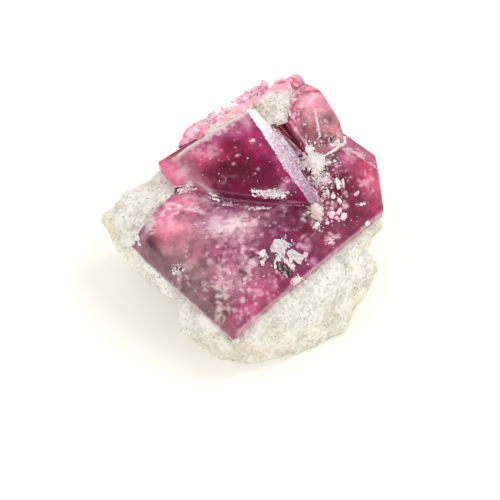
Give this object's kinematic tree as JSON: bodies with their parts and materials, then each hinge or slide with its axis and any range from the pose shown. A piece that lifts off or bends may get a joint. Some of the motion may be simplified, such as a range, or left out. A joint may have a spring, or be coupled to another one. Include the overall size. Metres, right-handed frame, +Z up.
{
  "type": "red beryl on matrix",
  "caption": "Tabular red beryl crystals grown into each other on white rhyolite, cut flat underneath so that the specimen rests as a display piece.",
  "frame": {"origin": "middle of the specimen's bounding box, at the level of the table it rests on", "axes": "+Z up from the rock's flat base, +X to the right along the longest side, +Y to the back, where the crystals rise highest"},
  "size_m": [0.029, 0.0272, 0.0152],
  "materials": {
    "rhyolite_matrix": "rough, granular white rhyolite with grey specks and cream stains",
    "main_crystal": "clear to cloudy red beryl, glassy faces with fine growth marks",
    "rear_crystal": "pink cloudy beryl with a rough broken rim",
    "broken_crystal": "clear brownish-red beryl with shell-like breaks",
    "seam_rhyolite": "rough cream and grey rock",
    "white_crust": "rough white mineral crust"
  },
  "bodies": {
    "root": {"rhyolite_matrix": "rhyolite_matrix", "main_crystal": "main_crystal", "rear_crystal": "rear_crystal", "broken_crystal": "broken_crystal", "seam_rhyolite": "seam_rhyolite", "white_crust": "white_crust"}
  },
  "joints": []
}
